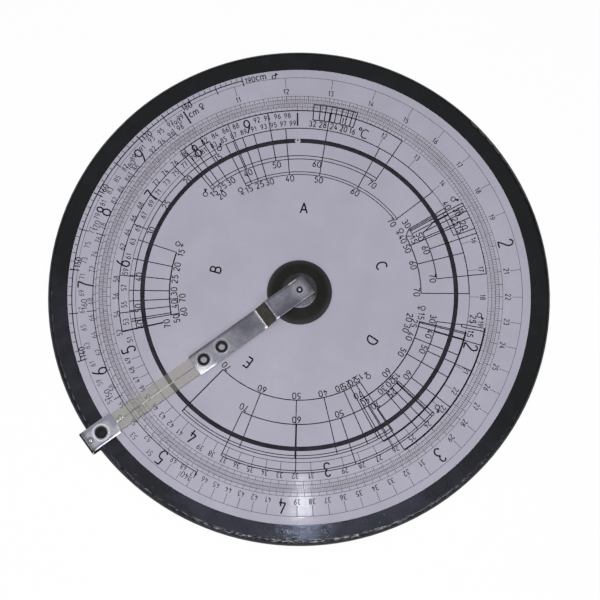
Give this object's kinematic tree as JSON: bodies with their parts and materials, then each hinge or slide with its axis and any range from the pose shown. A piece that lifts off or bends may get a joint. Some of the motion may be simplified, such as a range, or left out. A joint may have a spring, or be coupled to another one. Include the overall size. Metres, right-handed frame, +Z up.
{
  "type": "circular slide rule",
  "caption": "Round desk slide rule: a black base with a fixed outer log scale, a turning inner log scale and a clear cursor strip on a bent metal arm that hooks over the rim.",
  "frame": {"origin": "centre of the underside, on the axis of the stud", "axes": "+Z up along the stud, +Y to the top of the dial as it is read, +X to the right"},
  "size_m": [0.2, 0.2, 0.0131],
  "materials": {
    "black_moulding": "polished black moulding, scuffed on the rim",
    "black_knob": "black moulding, worn to satin",
    "scale_sheet": "pale printed sheet with a slight sheen",
    "print_ink": "printed figures and lines",
    "carrier_plate": "plain sheet",
    "steel": "turned",
    "bright_metal": "bright nickel",
    "arm_metal": "nickel plate with fine scratches",
    "brass": "turned",
    "fibre": "red-brown fibre",
    "clear_strip": "clear, yellowed with age"
  },
  "bodies": {
    "base": {"base_disc": "black_moulding", "outer_scale_ring": "scale_sheet", "pivot_stud": "steel", "stud_washer": "steel", "stud_nut": "steel", "friction_washer": "fibre", "hub_washer": "bright_metal", "spring_washer": "steel"},
    "inner_dial": {"dial_carrier": "carrier_plate", "inner_scale_sheet": "scale_sheet", "hub_knob": "black_knob", "hub_bush": "brass", "knob_screws": "steel"},
    "cursor": {"cursor_arm": "arm_metal", "cursor_strip": "clear_strip", "inner_eyelet": "bright_metal", "outer_eyelet": "bright_metal", "end_clip": "arm_metal", "clip_eyelet": "bright_metal", "guide_pin": "bright_metal"}
  },
  "joints": [
    {"name": "dial_turn", "type": "hinge", "parent": "base", "child": "inner_dial", "pos_m": [0, 0, 0.006], "axis": [0, 0, 1], "continuous": true},
    {"name": "cursor_turn", "type": "hinge", "parent": "base", "child": "cursor", "pos_m": [0, 0, 0.012], "axis": [0, 0, 1], "continuous": true}
  ]
}
